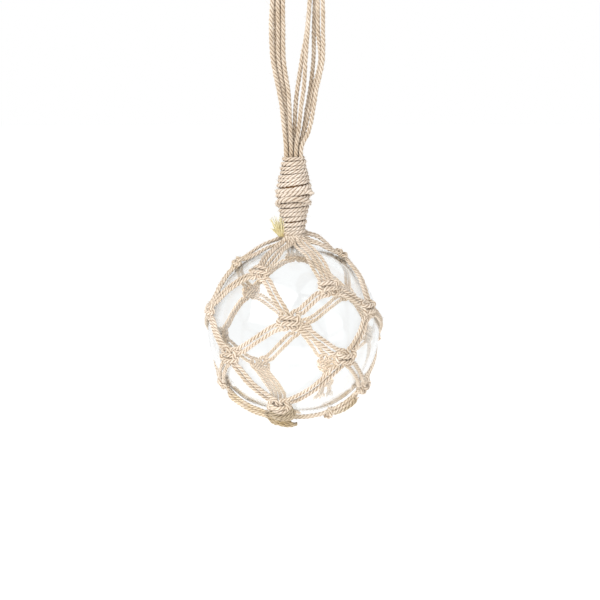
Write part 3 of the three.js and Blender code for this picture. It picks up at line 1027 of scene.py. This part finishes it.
def makeFrayed(s):
    rng = random.Random(7)
    foot = ballCentre + direction(90, s["turn"]) * s["foot"] + Vector((0, 0, s["height"]))
    lines = []
    for _ in range(s["yarns"]):
        a = rng.uniform(0, 2 * math.pi)
        wide = rng.uniform(0.1, 1.0) ** 0.6
        lean = Vector((math.cos(a), math.sin(a) * 0.7, 0)) * wide
        tall = s["length"] * rng.uniform(0.35, 1.05)
        points = []
        for out, left, share, uneven in s["bends"]:
            place = foot + lean * out + Vector((-left, 0, 0)) + Vector((0, 0, tall * share))
            points.append(place + jitter(rng, uneven) if uneven else place)
        lines.append(thinned(smoothRoute(points, 1.0), s["thinning"]))
    piece = meshOfLines("frayed_end", lines, s["radius"], yellowCotton)
    joinNet(piece, [(foot + Vector((0, 0, 2)), 7, 0.6)])


makeFrayed(frayed)
print("frayed end made")

# Loose fibres standing off the cords
fuzz = {
    "radius": 0.06, "length": (1.0, 3.4), "every": 0.3,
    "foot": 0.42,        # share of the cord's diameter
    "lean": 0.8, "droop": 0.3, "drift": 0.35, "clear": 0.15, "widths": (1.0, 0.8, 0.35),
}


def makeFuzz(s):
    rng = random.Random(11)
    lines = []
    for route, diameter, share in fuzzRoutes:
        count = int(routeLength(route) * share * s["every"])
        tangents, normals = carriedNormals(route)
        for _ in range(count):
            i = rng.randrange(2, len(route) - 3)
            a = rng.uniform(0, 2 * math.pi)
            side = normals[i] * math.cos(a) + tangents[i].cross(normals[i]) * math.sin(a)
            length = rng.uniform(*s["length"])
            lean = tangents[i] * rng.uniform(-s["lean"], s["lean"])
            start = route[i] + side * diameter * s["foot"]
            bend = start + (side + lean).normalized() * length * 0.5
            drift = jitter(rng, 1) * length * s["drift"]
            end = bend + (side * s["droop"] + lean).normalized() * length * 0.5 + drift
            if min((q - ballCentre).length for q in (bend, end)) < glassRadius + s["clear"]:
                continue
            lines.append(list(zip((start, bend, end), s["widths"])))
    piece = meshOfLines("loose_fibres", lines, s["radius"], netCotton, 4)
    addStain(piece)
    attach(piece, "root")


makeFuzz(fuzz)
print("loose fibres set")

# The blown ball: an even wall of clear glass, sealed
glass = {"wall": 2.6, "rings": 64, "segments": 96}


def makeGlass(s):
    work = bmesh.new()
    for radius, inward in ((glassRadius, False), (glassRadius - s["wall"], True)):
        made = bmesh.ops.create_uvsphere(work, u_segments=s["segments"], v_segments=s["rings"],
                                         radius=radius * mm)
        if inward:
            faces = dict.fromkeys(face for vertex in made["verts"] for face in vertex.link_faces)
            bmesh.ops.reverse_faces(work, faces=list(faces))
    bmesh.ops.translate(work, vec=ballCentre * mm, verts=work.verts)
    piece = linkedPiece("blown_ball", finished(work, bpy.data.meshes.new("blown_ball")), clearGlass)
    piece.visible_shadow = False  # light reaches the cords behind it, as it does through real clear glass
    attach(piece, "root")
    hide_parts("glass_ball")


makeGlass(glass)
print("glass blown")

# Studio: a white surround, a wide soft light from the upper left, and a pale floor well below
studio = {
    "floor": -900, "floorSize": 12000, "floorGlow": 0.47,
    "surround": 0.55,    # strength for all light but what the camera sees straight or through clear glass
    # name, place from the ball in m, width and height in m, and watts
    "lamps": [("key", (-0.7, -0.9, 1.0), (1.5, 1.5), 25.6), ("fill", (0.9, -0.6, 0.3), (0.5, 0.9), 2.4),
              ("low fill", (0.1, -1.1, -0.5), (1.2, 0.6), 4.0)],
}


def addArea(name, place, size, power):
    data = bpy.data.lights.new(name, "AREA")
    data.shape = "RECTANGLE"
    data.size, data.size_y = size
    data.energy = power
    light = linked(bpy.data.objects.new(name, data))
    light.location = ballCentre * mm + Vector(place)
    light.rotation_euler = (-Vector(place)).to_track_quat("-Z", "Y").to_euler()
    light.visible_transmission = False  # the glass casts no shadow, so its lamps aren't counted twice


def makeStudio(s):
    world = bpy.data.worlds.new("white surround")
    bpy.context.scene.world = world
    world.use_nodes = True
    tree = world.node_tree
    tree.nodes.clear()
    path = addNode(tree, "LightPath")
    straight = addNode(tree, "Math", {"operation": "MAXIMUM"},
                       links={0: path.outputs["Is Camera Ray"], 1: path.outputs["Is Singular Ray"]})
    unlit = addNode(tree, "Math", {"operation": "LESS_THAN"}, {1: 0.5}, {0: path.outputs["Diffuse Depth"]})
    seen = addNode(tree, "Math", {"operation": "MULTIPLY"},
                   links={0: straight.outputs["Value"], 1: unlit.outputs["Value"]})
    strength = addRange(tree, seen.outputs["Value"], 0.0, 1.0, s["surround"], 1.0)
    sky = addNode(tree, "Background", values={"Color": (1, 1, 1, 1)}, links={"Strength": strength})
    addNode(tree, "OutputWorld", links={"Surface": sky.outputs["Background"]})
    for lamp in s["lamps"]:
        addArea(*lamp)
    floor = bmesh.new()
    bmesh.ops.create_grid(floor, x_segments=1, y_segments=1, size=s["floorSize"] * mm)
    bmesh.ops.translate(floor, vec=(0, 0, s["floor"] * mm), verts=floor.verts)
    mesh = finished(floor, bpy.data.meshes.new("floor"), False)
    material, tree, place = newMaterial("matt white studio floor")
    mottle = addNode(tree, "TexNoise", values={"Scale": 3.0}, links={"Vector": place.outputs["Object"]})
    tint = addMix(tree, "#FFFFFF", "#FCFCFC", mottle.outputs["Fac"])
    addSurface(tree, {"Roughness": 0.9, "Emission Color": (1, 1, 1, 1), "Emission Strength": s["floorGlow"]},
               {"Base Color": tint})
    linkedPiece("floor", mesh, material)
    bpy.context.scene.view_settings.view_transform = "Standard"


makeStudio(studio)
print("studio lit")
